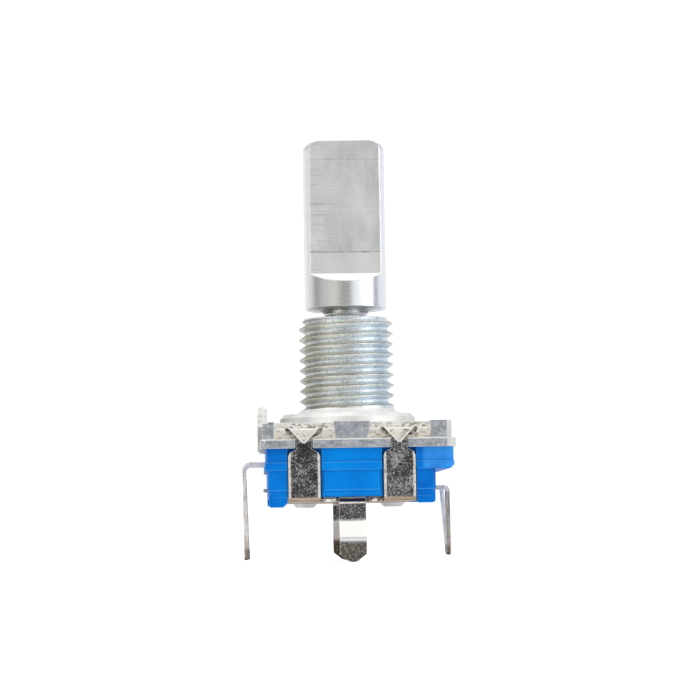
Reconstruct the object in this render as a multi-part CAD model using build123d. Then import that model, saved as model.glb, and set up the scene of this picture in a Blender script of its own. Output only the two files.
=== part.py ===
from build123d import *
import math
import os

# Rotary encoder with push switch, vertical, flatted 6 mm shaft, M7 x 0.75 bushing.
# Millimetres. +Z runs along the shaft towards its tip and the origin is on the
# shaft's axis at the mounting face. The shaft's flat faces -Y, the encoder
# terminals leave at -X and the switch terminals leave at +X.

os.makedirs("parts", exist_ok=True)

# --- shaft ---
SHAFT_R = 3.0
TIP_Z = 20.0
TIP_ROUND = 0.7
FLAT_DEPTH_Y = -1.5  # 4.5 mm across the flat
FLAT_END_Z = 10.2
FLAT_RUNOUT = 0.65
SHOULDER_Z = 7.6
SHOULDER_CHAMFER = 0.15
NECK_R = 1.54
NECK_FILLET = 0.45
NECK_FILLET_STEPS = (0, 30, 60, 90)
NECK_BOTTOM_Z = 6.85
JOURNAL_R = 2.0
RING_GROOVE_R = 1.5
RING_GROOVE_TOP_Z = -1.29
RING_GROOVE_BOTTOM_Z = -1.65
COLLAR_BOTTOM_Z = -1.95
TANG_R = 1.85
TANG_HALF = 1.25  # two flats, 2.5 mm across
SHAFT_END_Z = -4.15

# --- bushing and flange casting ---
FIT = 0.05  # running clearance on radius
BUSHING_TOP_Z = 7.0
THREAD_MAJOR_R = 3.45
THREAD_MINOR_R = 3.03
THREAD_PITCH = 0.75
THREAD_START_Z = 0.55
THREAD_START_ANGLE = 150  # keeps the groove's ends off the bushing's seam
THREAD_TURNS = 10
THREAD_CUT_R = 3.5
BUSHING_CHAMFER = 0.4
FLARE_R = 3.75
FLARE_TOP_Z = 0.3
BOSS_R = 4.95
BOSS_Z = -0.65
BOSS_CHAMFER = 0.3
BLOCK_TOP_Z = -0.75
LEDGE_TOP_Z = -1.95
FLANGE_BOTTOM_Z = -2.61
LEDGE_LEFT_X = -6.45
LEDGE_RIGHT_X = 7.4
LEDGE_HALF_Y = 6.25
LEDGE_CORNER = 0.45
LEDGE_LEFT_R = 0.45
EDGE_R = 0.12
BLOCK_FACE_Y = 6.1
BLOCK_BACK_Y = 4.6
CENTRE_BLOCK_FOOT_X = (-1.1, 1.2)
CENTRE_BLOCK_TOP_X = (-1.25, 1.32)
LEFT_BLOCK_X = (-6.28, -5.45)
RIGHT_BLOCK_X = (5.6, 7.1)
RIGHT_BLOCK_CHAMFER = 0.38
END_RIB_X = (5.9, 7.1)
TIER_STEP_Z = -1.2
LOWER_TIER_X = (-6.1, 6.7)
LOWER_TIER_Y = 5.5
UPPER_TIER_X = (-6.0, 6.6)
UPPER_TIER_Y = 5.2
CAVITY_R = 4.65
CAVITY_TOP_Z = -1.25
LUG_X = (-6.6, -5.88)
LUG_HALF_Y = 1.0
LUG_TOP_Z = 0.6
SPIGOTS = ((-5.1, -4.6), (5.1, 4.6))  # of the casting, in the encoder base
PEGS = ((-5.1, 4.6), (5.1, -4.6))  # of the encoder base, in the switch base
PEG_R = 0.45
PEG_LENGTH = 0.6
PEG_HOLE_R = 0.5
PEG_HOLE_DEPTH = 0.7

# --- mounting plate with claws and snap-in lugs ---
SHEET = 0.32
PLATE_TOP_Z = -6.1
PLATE_HALF_X = 4.45
PLATE_HALF_Y = 5.95
CLAW_X = 3.37
CLAW_WIDTH = 2.24
CLAW_FACE_Y = 6.17
CLAW_SHOULDER_Z = -2.72
CLAW_SHOULDER_R = 0.5
CLAW_NECK_WIDTH = 1.12
CLAW_SLOT_GAP = 0.08
NOTCH_Z = -2.22
PRONG_INNER = (1.0, -1.14)
PRONG_TIP = (1.36, -1.2)
PRONG_OUTER = (1.2, -1.58)
PRONG_GAP = 0.02  # above the ledge
SNAP_WIDTH = 1.9
SNAP_FACE_Y = 6.1
SNAP_KINK_Y = 6.65
SNAP_BEND_Z = -7.8
SNAP_KINK_Z = -9.0
SNAP_TIP_Z = -10.67
SNAP_CORNER_Z = -10.1
SNAP_BEND_R = 0.2
CLAW_BEND_R = 0.25
ROOT_Y = 4.5  # where the bent strips join the flat plate
RELIEF = 0.22
RELIEF_DEPTH = 0.4
DIMPLE_R = 0.95
DIMPLE_SLOPE = 0.3
DIMPLE_X = 3.2
SEAT_Z = -6.75

# --- plastic bases ---
BASE_HALF_Y = 6.15
BASE_LEFT_X = -6.13
BASE_HALF_X = 5.95
BASE_RIGHT_X = 7.28
PARTING_Z = -3.6
ENCODER_BASE_BOTTOM_Z = -4.16
CLAW_RECESS_Y = 5.65
CLAW_RECESS_X = (2.12, 4.56)
LIP = 0.1
CAVITY_FLOOR_Z = -3.55
PILOT_HOLE_R = 2.65
GATE_CHAMFER = 0.3
SWITCH_PARTING_Z = -5.57
SWITCH_BASE_BOTTOM_Z = -6.06
SWITCH_INSET = 0.12
SWITCH_BEVEL_SIDE = (0.24, 0.14)  # width along X and depth along Y
SWITCH_BEVEL_TOP_Z = -5.66
FOOT_Y = 4.9
RIGHT_FOOT_Z = -6.55
REAR_LEFT_FOOT_Z = -6.6
REAR_RIGHT_FOOT_Z = -6.4
FOOT_CHAMFER = 0.28
FOOT_R = 0.2
WELL_R = 2.9
WELL_FLOOR_Z = -5.62

# --- rotor and code disc ---
DETENTS = 24
RIM_OUTER_R = 4.4
RIM_INNER_R = 3.2
TOOTH_CREST_Z = -2.1
TOOTH_DEPTH = 0.22
TOOTH_WIDTH = 0.8
ROTOR_WEB_TOP_Z = -2.55
ROTOR_BOTTOM_Z = -3.0
PILOT_BOTTOM_Z = -3.8
CODE_DISC = 0.1
CODE_OUTER_R = 4.3
TRACK_INNER_R = 3.3
TRACK_OUTER_R = 4.2

# --- detent spring and retaining ring ---
SPRING_SHEET = 0.2
SPRING_INNER_R = 3.3
SPRING_OUTER_R = 4.4
SPRING_DROP = 0.4
SPRING_FLAT_X = 2.7
SPRING_LOW_X = 0.7
BUMP_R = 0.3
RING_OUTER_R = 2.85
RING_THICKNESS = 0.3
RING_MOUTH = 1.9

# --- terminals and contacts ---
TERMINAL_Y = 2.5
TERMINAL_SHEET = 0.26
TERMINAL_WIDTH = 1.0
TERMINAL_TIP_WIDTH = 0.7
TERMINAL_BEND_R = 0.45
ENCODER_EXIT_Z = -3.58
ENCODER_ROW_X = -7.6
ENCODER_TIP_Z = -10.45
LEAN_A = 0.07  # how far a leg's tip stands inside its bend
LEAN_C = 0.15
LEAN_B = 0.25
SWITCH_EXIT_Z = -5.44
SWITCH_ROW_X = 7.0
SWITCH_TIP_Z = -10.3
SWITCH_BEND_R = 0.25
LEAN_D = 0.03
LEAN_E = 0.35
TIP_STEP = 0.7
TIP_BEVEL_Y = 0.2
TIP_BEVEL_Z = 0.3
PAD_INNER_X = -3.45
WIPER_SHEET = 0.1
WIPER_WIDTH = 0.9
WIPER_SLOT = 0.2
WIPER_GAP = 0.03
WIPER_A_X = -2.6
WIPER_C_X = -3.0
WIPER_RUN = 1.2
OUTER_STRIP_Z = -5.75
CENTRE_STRIP_Z = -5.88
CENTRE_PAD_R = 0.6
CENTRE_TRACK = 0.8
STUB_X = -6.25
STUB_Z = -5.5
STUB_STEP_X = (-4.5, -3.9)
STRIP_D_RISE_X = (3.6, 4.3)
STRIP_E_RISE_X = (3.8, 4.5)
STRIP_E_END_X = 3.4

# --- switch ---
PLUNGER_R = 2.85
PLUNGER_TOP_Z = -4.2
PLUNGER_BOTTOM_Z = -4.6
NUB_R = 0.7
NUB_BOTTOM_Z = -4.75
DOME_R = 2.45
DOME_HEIGHT = 0.74
DOME_SHEET = 0.08
FILM_R = 2.8
FILM_SHEET = 0.05
FILM_GAP = 0.02

OVER = 1.0  # how far a cutting tool runs past the part
CENTRED = (Align.CENTER, Align.CENTER, Align.MIN)


def block(x0, x1, y0, y1, z0, z1):
    """Box between two corners."""
    centre = Location(((x0 + x1) / 2, (y0 + y1) / 2, (z0 + z1) / 2))
    return centre * Box(abs(x1 - x0), abs(y1 - y0), abs(z1 - z0))


def disc(radius, z0, z1, x=0.0, y=0.0):
    """Upright cylinder from z0 up to z1."""
    return Location((x, y, z0)) * Cylinder(radius, z1 - z0, align=CENTRED)


def turned(*points):
    """Solid turned about Z from (radius, z) points."""
    return revolve(Plane.XZ * Polygon(*points, align=None), Axis.Z)


def slab(points, z0, z1):
    """Plan outline from z0 up to z1."""
    face = Plane.XY.offset(z0) * Polygon(*points, align=None)
    return extrude(face, z1 - z0, dir=(0, 0, 1))


def upright(points, y0, y1):
    """(x, z) outline standing between y0 and y1."""
    face = Plane.XZ.offset(-y1) * Polygon(*points, align=None)
    return extrude(face, y1 - y0, dir=(0, -1, 0))


def strip_xz(points, width, thickness, bend, y=0.0):
    """Sheet strip bent along (x, z) points, its width along Y."""
    path = FilletPolyline(*[(x, y, z) for x, z in points], radius=bend)
    start = Plane(origin=path @ 0, x_dir=(0, 1, 0), z_dir=path % 0)
    return sweep(start * Rectangle(width, thickness), path=path)


def strip_yz(points, width, thickness, bend, x=0.0):
    """Sheet strip bent along (y, z) points, its width along X."""
    path = FilletPolyline(*[(x, y, z) for y, z in points], radius=bend)
    start = Plane(origin=path @ 0, x_dir=(1, 0, 0), z_dir=path % 0)
    return sweep(start * Rectangle(width, thickness), path=path)


def mirrored_y(part):
    return mirror(part, about=Plane.XZ)


def mirrored_x(part):
    return mirror(part, about=Plane.YZ)


def upright_edges(part, x_side=0, y_side=0):
    """Edges along Z, kept by the side of the part they are on."""
    kept = []
    for edge in part.edges().filter_by(Axis.Z):
        spot = edge.center()
        if x_side and spot.X * x_side < 0:
            continue
        if y_side and spot.Y * y_side < 0:
            continue
        kept.append(edge)
    return kept


def top_edges(part):
    return part.faces().sort_by(Axis.Z)[-1].edges()


def make_shaft():
    neck_fillet = [
        (
            NECK_R + NECK_FILLET * (1 - math.cos(math.radians(angle))),
            SHOULDER_Z - NECK_FILLET * (1 - math.sin(math.radians(angle))),
        )
        for angle in NECK_FILLET_STEPS
    ]
    body = turned(
        (0, SHAFT_END_Z),
        (TANG_R, SHAFT_END_Z),
        (TANG_R, COLLAR_BOTTOM_Z),
        (JOURNAL_R, COLLAR_BOTTOM_Z),
        (JOURNAL_R, RING_GROOVE_BOTTOM_Z),
        (RING_GROOVE_R, RING_GROOVE_BOTTOM_Z),
        (RING_GROOVE_R, RING_GROOVE_TOP_Z),
        (JOURNAL_R, RING_GROOVE_TOP_Z),
        (JOURNAL_R, NECK_BOTTOM_Z - 0.15),
        (NECK_R, NECK_BOTTOM_Z + 0.1),
        *neck_fillet,
        (SHAFT_R - SHOULDER_CHAMFER, SHOULDER_Z + 0.06),
        (SHAFT_R, SHOULDER_Z + SHOULDER_CHAMFER),
        (SHAFT_R, TIP_Z),
        (0, TIP_Z),
    )
    body = fillet(top_edges(body), TIP_ROUND)
    reach = SHAFT_R + 1.0
    slope = FLAT_RUNOUT / (SHAFT_R + FLAT_DEPTH_Y)
    flat = Plane.YZ * Polygon(
        (FLAT_DEPTH_Y, TIP_Z + 1.0),
        (FLAT_DEPTH_Y, FLAT_END_Z),
        (-reach, FLAT_END_Z - slope * (reach + FLAT_DEPTH_Y)),
        (-reach, TIP_Z + 1.0),
        align=None,
    )
    body -= extrude(flat, reach, both=True)
    for side in (-1, 1):
        body -= block(
            -reach, reach, side * TANG_HALF, side * reach, SHAFT_END_Z - 1.0, COLLAR_BOTTOM_Z
        )
    # joined without merging faces, so the flatted stretch keeps its own wall above the round one
    above = block(-reach, reach, -reach, reach, FLAT_END_Z, TIP_Z + 1.0)
    return (body - above).solid().fuse((body & above).solid())


def make_retaining_ring():
    top = RING_GROOVE_TOP_Z - 0.03
    ring = disc(RING_OUTER_R, top - RING_THICKNESS, top)
    ring -= disc(RING_GROOVE_R + 0.04, top - 1.0, top + 1.0)
    ring -= block(-RING_MOUTH / 2, RING_MOUTH / 2, 0, 4.0, top - 1.0, top + 1.0)
    for angle in (30, 150, 270):
        relief = disc(0.55, top - 1.0, top + 1.0, RING_GROOVE_R + 0.15)
        ring -= Rot(0, 0, angle) * relief
    return ring


def make_bushing_flange():
    bushing = turned(
        (JOURNAL_R + FIT, BOSS_Z),
        (FLARE_R, BOSS_Z),
        (FLARE_R, 0.0),
        (THREAD_MAJOR_R, FLARE_TOP_Z),
        (THREAD_MAJOR_R, BUSHING_TOP_Z - BUSHING_CHAMFER),
        (THREAD_MAJOR_R - BUSHING_CHAMFER, BUSHING_TOP_Z),
        (JOURNAL_R + FIT + 0.3, BUSHING_TOP_Z),
        (JOURNAL_R + FIT, BUSHING_TOP_Z - 0.3),
    )
    root = THREAD_PITCH / 8
    mouth = root + (THREAD_CUT_R - THREAD_MINOR_R) * math.tan(math.radians(30))
    profile = Plane.XZ * Polygon(
        (THREAD_MINOR_R, -root),
        (THREAD_CUT_R, -mouth),
        (THREAD_CUT_R, mouth),
        (THREAD_MINOR_R, root),
        align=None,
    )
    one_turn = Helix(pitch=THREAD_PITCH, height=THREAD_PITCH, radius=THREAD_MINOR_R)
    groove = Rot(0, 0, THREAD_START_ANGLE) * sweep(profile, path=one_turn, is_frenet=True)
    turns = [
        Location((0, 0, THREAD_START_Z + turn * THREAD_PITCH)) * groove for turn in range(THREAD_TURNS)
    ]
    bushing -= turns

    ledge = block(
        LEDGE_LEFT_X, LEDGE_RIGHT_X, -LEDGE_HALF_Y, LEDGE_HALF_Y, FLANGE_BOTTOM_Z, LEDGE_TOP_Z
    )
    ledge = chamfer(upright_edges(ledge, x_side=1), LEDGE_CORNER)
    ledge = fillet(upright_edges(ledge, x_side=-1), LEDGE_LEFT_R)
    ledge = fillet(top_edges(ledge), EDGE_R)
    lower_tier = block(*LOWER_TIER_X, -LOWER_TIER_Y, LOWER_TIER_Y, LEDGE_TOP_Z, TIER_STEP_Z)
    lower_tier = fillet(top_edges(lower_tier), EDGE_R)
    sunk = 0.2  # how deep each feature is rooted in the one below
    upper_tier = block(*UPPER_TIER_X, -UPPER_TIER_Y, UPPER_TIER_Y, TIER_STEP_Z - sunk, BLOCK_TOP_Z)
    boss = turned(
        (0, BLOCK_TOP_Z - sunk),
        (BOSS_R, BLOCK_TOP_Z - sunk),
        (BOSS_R, -BOSS_CHAMFER),
        (BOSS_R - BOSS_CHAMFER, 0),
        (0, 0),
    )
    body = ledge + lower_tier + upper_tier + boss

    root_z = LEDGE_TOP_Z - sunk
    block_top = BLOCK_TOP_Z + 0.02
    for side in (-1, 1):
        face = side * BLOCK_FACE_Y
        back = side * BLOCK_BACK_Y
        centre = upright(
            [
                (CENTRE_BLOCK_FOOT_X[0], root_z),
                (CENTRE_BLOCK_FOOT_X[1], root_z),
                (CENTRE_BLOCK_TOP_X[1], block_top),
                (CENTRE_BLOCK_TOP_X[0], block_top),
            ],
            min(face, back),
            max(face, back),
        )
        left = block(*LEFT_BLOCK_X, face, back, root_z, block_top)
        right = block(*RIGHT_BLOCK_X, face, back, root_z, block_top)
        right = chamfer(upright_edges(right, x_side=1, y_side=side)[-1:], RIGHT_BLOCK_CHAMFER)
        body += centre + left + right
    body += block(*END_RIB_X, -UPPER_TIER_Y, UPPER_TIER_Y, root_z, block_top)

    lug = block(*LUG_X, -LUG_HALF_Y, LUG_HALF_Y, FLANGE_BOTTOM_Z, LUG_TOP_Z)
    lug_thickness = LUG_X[1] - LUG_X[0]
    body += fillet(top_edges(lug).filter_by(Axis.Y), lug_thickness / 2 - 0.03)

    body -= disc(CAVITY_R, FLANGE_BOTTOM_Z - OVER, CAVITY_TOP_Z)
    core_r = FLARE_R - 0.3
    body -= disc(core_r, CAVITY_TOP_Z - OVER, OVER)
    body += turned(
        (JOURNAL_R + FIT, CAVITY_TOP_Z),
        (core_r + 0.1, CAVITY_TOP_Z),
        (core_r + 0.1, BOSS_Z),
        (JOURNAL_R + FIT, BOSS_Z),
    )
    body += bushing

    slot_half = CLAW_NECK_WIDTH / 2 + CLAW_SLOT_GAP
    for x_side in (-1, 1):
        for y_side in (-1, 1):
            body -= block(
                x_side * CLAW_X - slot_half,
                x_side * CLAW_X + slot_half,
                y_side * (LEDGE_HALF_Y + OVER),
                y_side * (CLAW_FACE_Y - SHEET - 0.1),
                FLANGE_BOTTOM_Z - OVER,
                LEDGE_TOP_Z + 0.01,
            )
    for x, y in SPIGOTS:
        body += disc(PEG_R, FLANGE_BOTTOM_Z - PEG_LENGTH, FLANGE_BOTTOM_Z, x, y)
    return body


def make_detent_spring():
    top = CAVITY_TOP_Z
    low = top - SPRING_DROP
    reach = SPRING_OUTER_R + 0.5
    leaf = upright(
        [
            (-reach, top),
            (-SPRING_FLAT_X, top),
            (-SPRING_LOW_X, low),
            (SPRING_LOW_X, low),
            (SPRING_FLAT_X, top),
            (reach, top),
            (reach, top - SPRING_SHEET),
            (SPRING_FLAT_X - 0.05, top - SPRING_SHEET),
            (SPRING_LOW_X - 0.05, low - SPRING_SHEET),
            (-SPRING_LOW_X + 0.05, low - SPRING_SHEET),
            (-SPRING_FLAT_X + 0.05, top - SPRING_SHEET),
            (-reach, top - SPRING_SHEET),
        ],
        -reach,
        reach,
    )
    bump_z = low - SPRING_SHEET - 0.1
    bump = Location((0, 0, bump_z)) * Rot(90, 0, 0) * Cylinder(BUMP_R, 2 * reach)
    rim = disc(SPRING_OUTER_R, -4.0, 0) - disc(SPRING_INNER_R, -5.0, 1.0)
    return (leaf + bump) & rim


def make_rotor():
    body = turned(
        (0, PILOT_BOTTOM_Z),
        (PILOT_HOLE_R - FIT, PILOT_BOTTOM_Z),
        (PILOT_HOLE_R - FIT, ROTOR_BOTTOM_Z),
        (RIM_OUTER_R, ROTOR_BOTTOM_Z),
        (RIM_OUTER_R, TOOTH_CREST_Z),
        (RIM_INNER_R, TOOTH_CREST_Z),
        (RIM_INNER_R, ROTOR_WEB_TOP_Z),
        (0, ROTOR_WEB_TOP_Z),
    )
    notch = Plane.YZ * Polygon(
        (-TOOTH_WIDTH / 2, TOOTH_CREST_Z),
        (0, TOOTH_CREST_Z - TOOTH_DEPTH),
        (TOOTH_WIDTH / 2, TOOTH_CREST_Z),
        (0, TOOTH_CREST_Z + TOOTH_DEPTH),
        align=None,
    )
    notch = Location((RIM_INNER_R - 0.5, 0, 0)) * notch
    notch = extrude(notch, RIM_OUTER_R - RIM_INNER_R + 1.0, dir=(1, 0, 0))
    cutters = [Rot(0, 0, index * 360 / DETENTS) * notch for index in range(DETENTS)]
    body -= cutters
    bore = disc(TANG_R + FIT, PILOT_BOTTOM_Z - 1.0, ROTOR_WEB_TOP_Z + 1.0)
    bore &= block(
        -4.0, 4.0, -TANG_HALF - FIT, TANG_HALF + FIT, PILOT_BOTTOM_Z - 1.0, ROTOR_WEB_TOP_Z + 1.0
    )
    return body - bore


def make_code_disc():
    top = ROTOR_BOTTOM_Z
    sheet = disc(CODE_OUTER_R, top - CODE_DISC, top)
    sheet -= disc(PILOT_HOLE_R, top - 1.0, top + 1.0)
    step = 360 / DETENTS
    band = disc(TRACK_OUTER_R, top - 1.0, top + 1.0) - disc(TRACK_INNER_R, top - 2.0, top + 2.0)
    half = math.radians(step / 4)
    reach = CODE_OUTER_R + 2.0
    wedge = slab(
        [(0, 0), (reach, -reach * math.tan(half)), (reach, reach * math.tan(half))],
        top - 1.0,
        top + 1.0,
    )
    window = band & wedge
    sheet -= [Rot(0, 0, index * step) * window for index in range(DETENTS)]
    return sheet


def narrowed_tip(part, x, y, tip_z):
    """Trim a leg's last stretch to the tip's width and bevel its corners."""
    for side in (-1, 1):
        near = side * TERMINAL_TIP_WIDTH / 2
        far = side * TERMINAL_WIDTH
        part -= block(x - OVER, x + OVER, y + near, y + far, tip_z - OVER, tip_z + TIP_STEP)
        bevel = Plane.YZ * Polygon(
            (y + near - side * TIP_BEVEL_Y, tip_z),
            (y + near + side * 0.1, tip_z + TIP_BEVEL_Z),
            (y + near + side * 0.1, tip_z),
            align=None,
        )
        part -= extrude(Location((x - OVER, 0, 0)) * bevel, 2 * OVER, dir=(1, 0, 0))
    return part


def make_encoder_terminal(y, lean):
    leg = strip_xz(
        [
            (PAD_INNER_X, ENCODER_EXIT_Z),
            (ENCODER_ROW_X, ENCODER_EXIT_Z),
            (ENCODER_ROW_X + lean, ENCODER_TIP_Z),
        ],
        TERMINAL_WIDTH,
        TERMINAL_SHEET,
        TERMINAL_BEND_R,
        y,
    )
    return narrowed_tip(leg, ENCODER_ROW_X + lean, y, ENCODER_TIP_Z)


def make_wiper(y, tip_x):
    pad_z = ENCODER_EXIT_Z + TERMINAL_SHEET / 2 + WIPER_SHEET / 2
    high = ROTOR_BOTTOM_Z - CODE_DISC - WIPER_GAP - WIPER_SHEET / 2
    heel = tip_x - WIPER_RUN
    finger = strip_xz(
        [
            (heel, pad_z),
            (heel + 0.45, pad_z),
            (tip_x, high),
            (tip_x + 0.22, high - 0.1),
        ],
        WIPER_WIDTH,
        WIPER_SHEET,
        0.06,
        y,
    )
    slot = block(heel + 0.45, tip_x + 1.0, y - WIPER_SLOT / 2, y + WIPER_SLOT / 2, -4.0, -2.0)
    return finger - slot


def make_terminal_d():
    """Front switch terminal: its strip runs under the dome's rim."""
    leg = strip_xz(
        [
            (STUB_X, STUB_Z),
            (STUB_STEP_X[0], STUB_Z),
            (STUB_STEP_X[1], OUTER_STRIP_Z),
            (STRIP_D_RISE_X[0], OUTER_STRIP_Z),
            (STRIP_D_RISE_X[1], SWITCH_EXIT_Z),
            (SWITCH_ROW_X, SWITCH_EXIT_Z),
            (SWITCH_ROW_X + LEAN_D, SWITCH_TIP_Z),
        ],
        TERMINAL_WIDTH,
        TERMINAL_SHEET,
        SWITCH_BEND_R,
        -TERMINAL_Y,
    )
    return narrowed_tip(leg, SWITCH_ROW_X + LEAN_D, -TERMINAL_Y, SWITCH_TIP_Z)


def make_terminal_e():
    """Rear switch terminal: its strip reaches the pad under the dome's centre."""
    leg = strip_xz(
        [
            (STRIP_E_END_X, CENTRE_STRIP_Z),
            (STRIP_E_RISE_X[0], CENTRE_STRIP_Z),
            (STRIP_E_RISE_X[1], SWITCH_EXIT_Z),
            (SWITCH_ROW_X, SWITCH_EXIT_Z),
            (SWITCH_ROW_X + LEAN_E, SWITCH_TIP_Z),
        ],
        TERMINAL_WIDTH,
        TERMINAL_SHEET,
        SWITCH_BEND_R,
        TERMINAL_Y,
    )
    leg = narrowed_tip(leg, SWITCH_ROW_X + LEAN_E, TERMINAL_Y, SWITCH_TIP_Z)
    low = CENTRE_STRIP_Z - TERMINAL_SHEET / 2
    high = CENTRE_STRIP_Z + TERMINAL_SHEET / 2
    half = CENTRE_TRACK / 2
    joint_x = STRIP_E_END_X + 0.2
    joint_y = TERMINAL_Y + TERMINAL_WIDTH / 2
    track = slab(
        [
            (-half, -half),
            (half, -half),
            (joint_x, joint_y - TERMINAL_WIDTH),
            (joint_x, joint_y),
            (joint_x - CENTRE_TRACK, joint_y),
            (-half, half),
        ],
        low,
        high,
    )
    return leg + track + disc(CENTRE_PAD_R, low, WELL_FLOOR_Z)


def base_outline(x0, x1, half_y, z0, z1):
    """Block with rounded corners and the four recesses that the claws lie in."""
    body = block(x0, x1, -half_y, half_y, z0, z1)
    body = fillet(upright_edges(body), 0.3)
    for x_side in (-1, 1):
        for y_side in (-1, 1):
            body -= block(
                x_side * CLAW_RECESS_X[0],
                x_side * CLAW_RECESS_X[1],
                y_side * CLAW_RECESS_Y,
                y_side * (BASE_HALF_Y + OVER),
                z0 - OVER,
                z1 + OVER,
            )
    return body


def make_encoder_base(inserts):
    band = base_outline(BASE_LEFT_X, BASE_RIGHT_X, BASE_HALF_Y, ENCODER_BASE_BOTTOM_Z, PARTING_Z)
    upper = base_outline(
        BASE_LEFT_X + LIP,
        BASE_RIGHT_X - LIP / 2,
        BASE_HALF_Y - LIP,
        PARTING_Z - LIP,
        FLANGE_BOTTOM_Z,
    )
    body = band + upper
    body -= disc(CAVITY_R, CAVITY_FLOOR_Z, 0)
    body -= disc(PILOT_HOLE_R, -5.0, 0)
    gate = Polygon(
        (BASE_RIGHT_X - GATE_CHAMFER, ENCODER_BASE_BOTTOM_Z),
        (BASE_RIGHT_X + OVER, ENCODER_BASE_BOTTOM_Z + GATE_CHAMFER + OVER),
        (BASE_RIGHT_X + OVER, ENCODER_BASE_BOTTOM_Z - OVER),
        (BASE_RIGHT_X - GATE_CHAMFER, ENCODER_BASE_BOTTOM_Z - OVER),
        align=None,
    )
    body -= extrude(Plane.XZ * gate, BASE_HALF_Y + OVER, both=True)
    for x, y in SPIGOTS:
        body -= disc(PEG_HOLE_R, FLANGE_BOTTOM_Z - PEG_HOLE_DEPTH, 0, x, y)
    for x, y in PEGS:
        body += disc(PEG_R, ENCODER_BASE_BOTTOM_Z - PEG_LENGTH, ENCODER_BASE_BOTTOM_Z, x, y)
    for insert in inserts:
        body -= insert
    return body


def bevel_tools(half_y):
    """Wedges that bevel the front block between the claws at its sides and foot."""
    edge_x = CLAW_RECESS_X[0]
    width, depth = SWITCH_BEVEL_SIDE
    corner = [
        (edge_x - width - width, -half_y - depth),
        (edge_x + width, -half_y + 2 * depth),
        (edge_x + width, -half_y - depth),
    ]
    right = slab(corner, SWITCH_BASE_BOTTOM_Z - OVER, ENCODER_BASE_BOTTOM_Z)
    foot = Plane.YZ * Polygon(
        (-half_y, SWITCH_BEVEL_TOP_Z),
        (-half_y + depth, SWITCH_BASE_BOTTOM_Z),
        (-half_y + depth, SWITCH_BASE_BOTTOM_Z - OVER),
        (-half_y - OVER, SWITCH_BASE_BOTTOM_Z - OVER),
        (-half_y - OVER, SWITCH_BEVEL_TOP_Z),
        align=None,
    )
    return [right, mirrored_x(right), extrude(foot, edge_x, both=True)]


def make_switch_base(inserts):
    half_y = BASE_HALF_Y - SWITCH_INSET
    half_x = BASE_HALF_X - 0.02
    upper = base_outline(-half_x, half_x, half_y, SWITCH_PARTING_Z, ENCODER_BASE_BOTTOM_Z)
    lower = base_outline(
        -half_x + 0.04, half_x - 0.04, half_y - 0.06, SWITCH_BASE_BOTTOM_Z, SWITCH_PARTING_Z + 0.1
    )
    body = upper + lower
    for tool in bevel_tools(half_y):
        body -= tool
        body -= mirrored_y(tool)
    feet = {
        (-1, -1): SEAT_Z,
        (-1, 1): REAR_LEFT_FOOT_Z,
        (1, -1): RIGHT_FOOT_Z,
        (1, 1): REAR_RIGHT_FOOT_Z,
    }
    for (x_side, y_side), foot_z in feet.items():
        foot = block(
            x_side * (CLAW_RECESS_X[1] + 0.02),
            x_side * (half_x - 0.05),
            y_side * FOOT_Y,
            y_side * (half_y - 0.07),
            foot_z,
            SWITCH_BASE_BOTTOM_Z + 0.3,
        )
        low_edges = foot.faces().sort_by(Axis.Z)[0].edges().filter_by(Axis.Y).sort_by(Axis.X)
        inner = low_edges[-1] if x_side < 0 else low_edges[0]
        outer = low_edges[0] if x_side < 0 else low_edges[-1]
        foot = fillet([outer], FOOT_R)
        inner = foot.edges().filter_by(Axis.Y).sort_by_distance(inner.center())[0]
        if x_side < 0:
            foot = chamfer([inner], FOOT_CHAMFER)
        else:
            foot = fillet([inner], FOOT_R)
        body += foot
    body -= disc(WELL_R, WELL_FLOOR_Z, 0)
    for x, y in PEGS:
        body -= disc(PEG_HOLE_R, ENCODER_BASE_BOTTOM_Z - PEG_HOLE_DEPTH, 0, x, y)
    for insert in inserts:
        body -= insert
    return body


def cap(height, radius, thickness, base_z):
    """Shallow spherical shell standing on base_z."""
    outer_r = (radius ** 2 + height ** 2) / (2 * height)
    centre_z = base_z + height - outer_r
    shell = Location((0, 0, centre_z)) * (Sphere(outer_r) - Sphere(outer_r - thickness))
    return shell & disc(radius + 1.0, base_z, base_z + height + 1.0)


def make_snap_dome():
    return cap(DOME_HEIGHT, DOME_R, DOME_SHEET, WELL_FLOOR_Z)


def make_dome_film():
    height = DOME_HEIGHT + FILM_GAP + FILM_SHEET
    radius = DOME_R + FILM_GAP + FILM_SHEET + 0.06
    skirt = disc(FILM_R, WELL_FLOOR_Z, WELL_FLOOR_Z + FILM_SHEET)
    skirt -= disc(radius - 0.06, WELL_FLOOR_Z - 1.0, WELL_FLOOR_Z + 1.0)
    return cap(height, radius, FILM_SHEET, WELL_FLOOR_Z) + skirt


def make_plunger():
    return disc(PLUNGER_R, PLUNGER_BOTTOM_Z, PLUNGER_TOP_Z) + disc(
        NUB_R, NUB_BOTTOM_Z, PLUNGER_BOTTOM_Z
    )


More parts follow.
